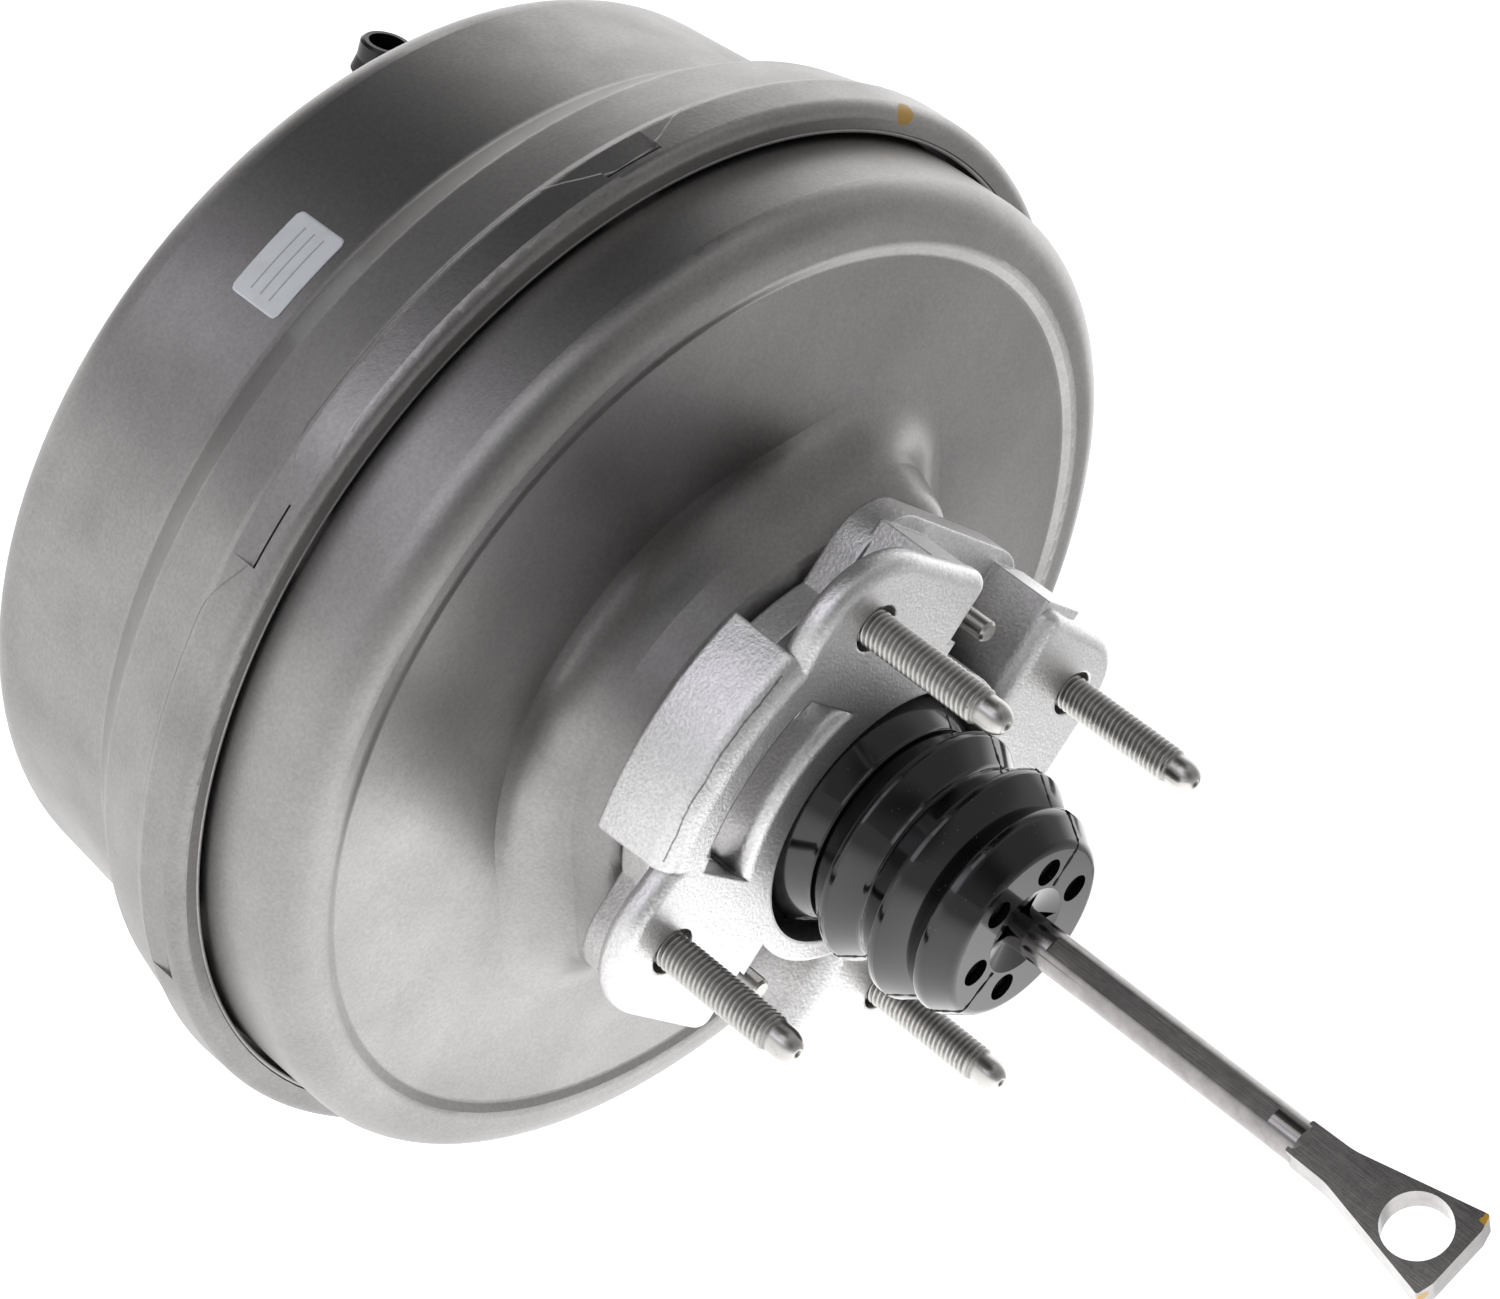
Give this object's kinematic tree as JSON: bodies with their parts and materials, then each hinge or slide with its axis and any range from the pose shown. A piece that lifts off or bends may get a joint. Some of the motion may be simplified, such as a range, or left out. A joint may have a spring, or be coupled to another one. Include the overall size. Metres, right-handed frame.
{
  "type": "brake booster",
  "caption": "Tandem vacuum brake booster with pressed steel shells, a cast firewall bracket with studs, a rubber boot, an eye-ended push rod and a vacuum check valve.",
  "frame": {"origin": "centre of the firewall stud pattern, on the bracket's mounting face", "axes": "-Y along the push rod to its eye, +Y to the master cylinder, X and Z along the rows of the firewall studs"},
  "size_m": [0.2468, 0.3249, 0.2468],
  "materials": {
    "shell_steel": "satin",
    "pressed_steel": "satin",
    "cast_aluminium": "rough cast",
    "stud_steel": "oiled",
    "rod_steel": "polished",
    "spring_steel": "oiled",
    "boot_rubber": "glossy",
    "diaphragm_rubber": "matte",
    "moulded_plastic": "matte",
    "valve_plastic": "satin",
    "filter_fibre": "open cell"
  },
  "bodies": {
    "housing": {"front_shell": "shell_steel", "rear_shell": "shell_steel", "hub_plate": "pressed_steel", "front_plate": "pressed_steel", "mounting_bracket": "cast_aluminium", "bracket_stud_1": "stud_steel", "bracket_stud_2": "stud_steel", "bracket_stud_3": "stud_steel", "bracket_stud_4": "stud_steel", "bracket_pin_1": "stud_steel", "bracket_pin_2": "stud_steel", "cylinder_stud_1": "stud_steel", "cylinder_stud_2": "stud_steel", "divider": "pressed_steel", "divider_seal": "diaphragm_rubber", "seal_retainer": "pressed_steel", "neck_seal": "diaphragm_rubber", "neck_bush": "moulded_plastic", "check_valve_grommet": "diaphragm_rubber", "check_valve_base": "valve_plastic", "check_valve_elbow": "valve_plastic", "check_spring": "spring_steel", "primary_diaphragm": "diaphragm_rubber", "secondary_diaphragm": "diaphragm_rubber", "return_spring": "spring_steel", "boot_bellows": "boot_rubber"},
    "power_piston": {"valve_body": "moulded_plastic", "primary_support_plate": "pressed_steel", "primary_lock_ring": "spring_steel", "secondary_support_plate": "pressed_steel", "secondary_lock_ring": "spring_steel", "stop_key": "rod_steel", "poppet_valve": "diaphragm_rubber", "poppet_retainer": "pressed_steel", "poppet_spring": "spring_steel", "filter_foam": "filter_fibre", "silencer_felt": "filter_fibre", "boot_cap": "boot_rubber", "boot_lip": "boot_rubber", "reaction_disc": "diaphragm_rubber", "output_rod": "rod_steel", "output_rod_retainer": "pressed_steel", "rod_spring": "spring_steel"},
    "valve_plunger": {"plunger": "rod_steel"},
    "push_rod": {"push_rod": "rod_steel", "rod_spring_seat": "pressed_steel"},
    "check_disc": {"check_disc": "diaphragm_rubber"}
  },
  "joints": [
    {"name": "piston_stroke", "type": "slide", "parent": "housing", "child": "power_piston", "axis": [0, 1, 0], "range_m": [0, 0.03], "stiffness_N_per_m": 4000, "springref_m": -0.04, "deforming": ["boot_bellows", "return_spring", "primary_diaphragm", "secondary_diaphragm"]},
    {"name": "plunger_travel", "type": "slide", "parent": "power_piston", "child": "valve_plunger", "axis": [0, 1, 0], "range_m": [0, 0.0015], "stiffness_N_per_m": 1000, "springref_m": -0.01, "deforming": ["rod_spring"]},
    {"name": "rod_swing", "type": "hinge", "parent": "valve_plunger", "child": "push_rod", "pos_m": [0, 0.044, 0], "axis": [-0.878, 0, 0.4787], "range_deg": [-3, 3], "deforming": ["boot_lip"]},
    {"name": "check_lift", "type": "slide", "parent": "housing", "child": "check_disc", "axis": [0, 1, 0], "range_m": [0, 0.0015], "stiffness_N_per_m": 50, "springref_m": -0.004, "deforming": ["check_spring"]}
  ]
}
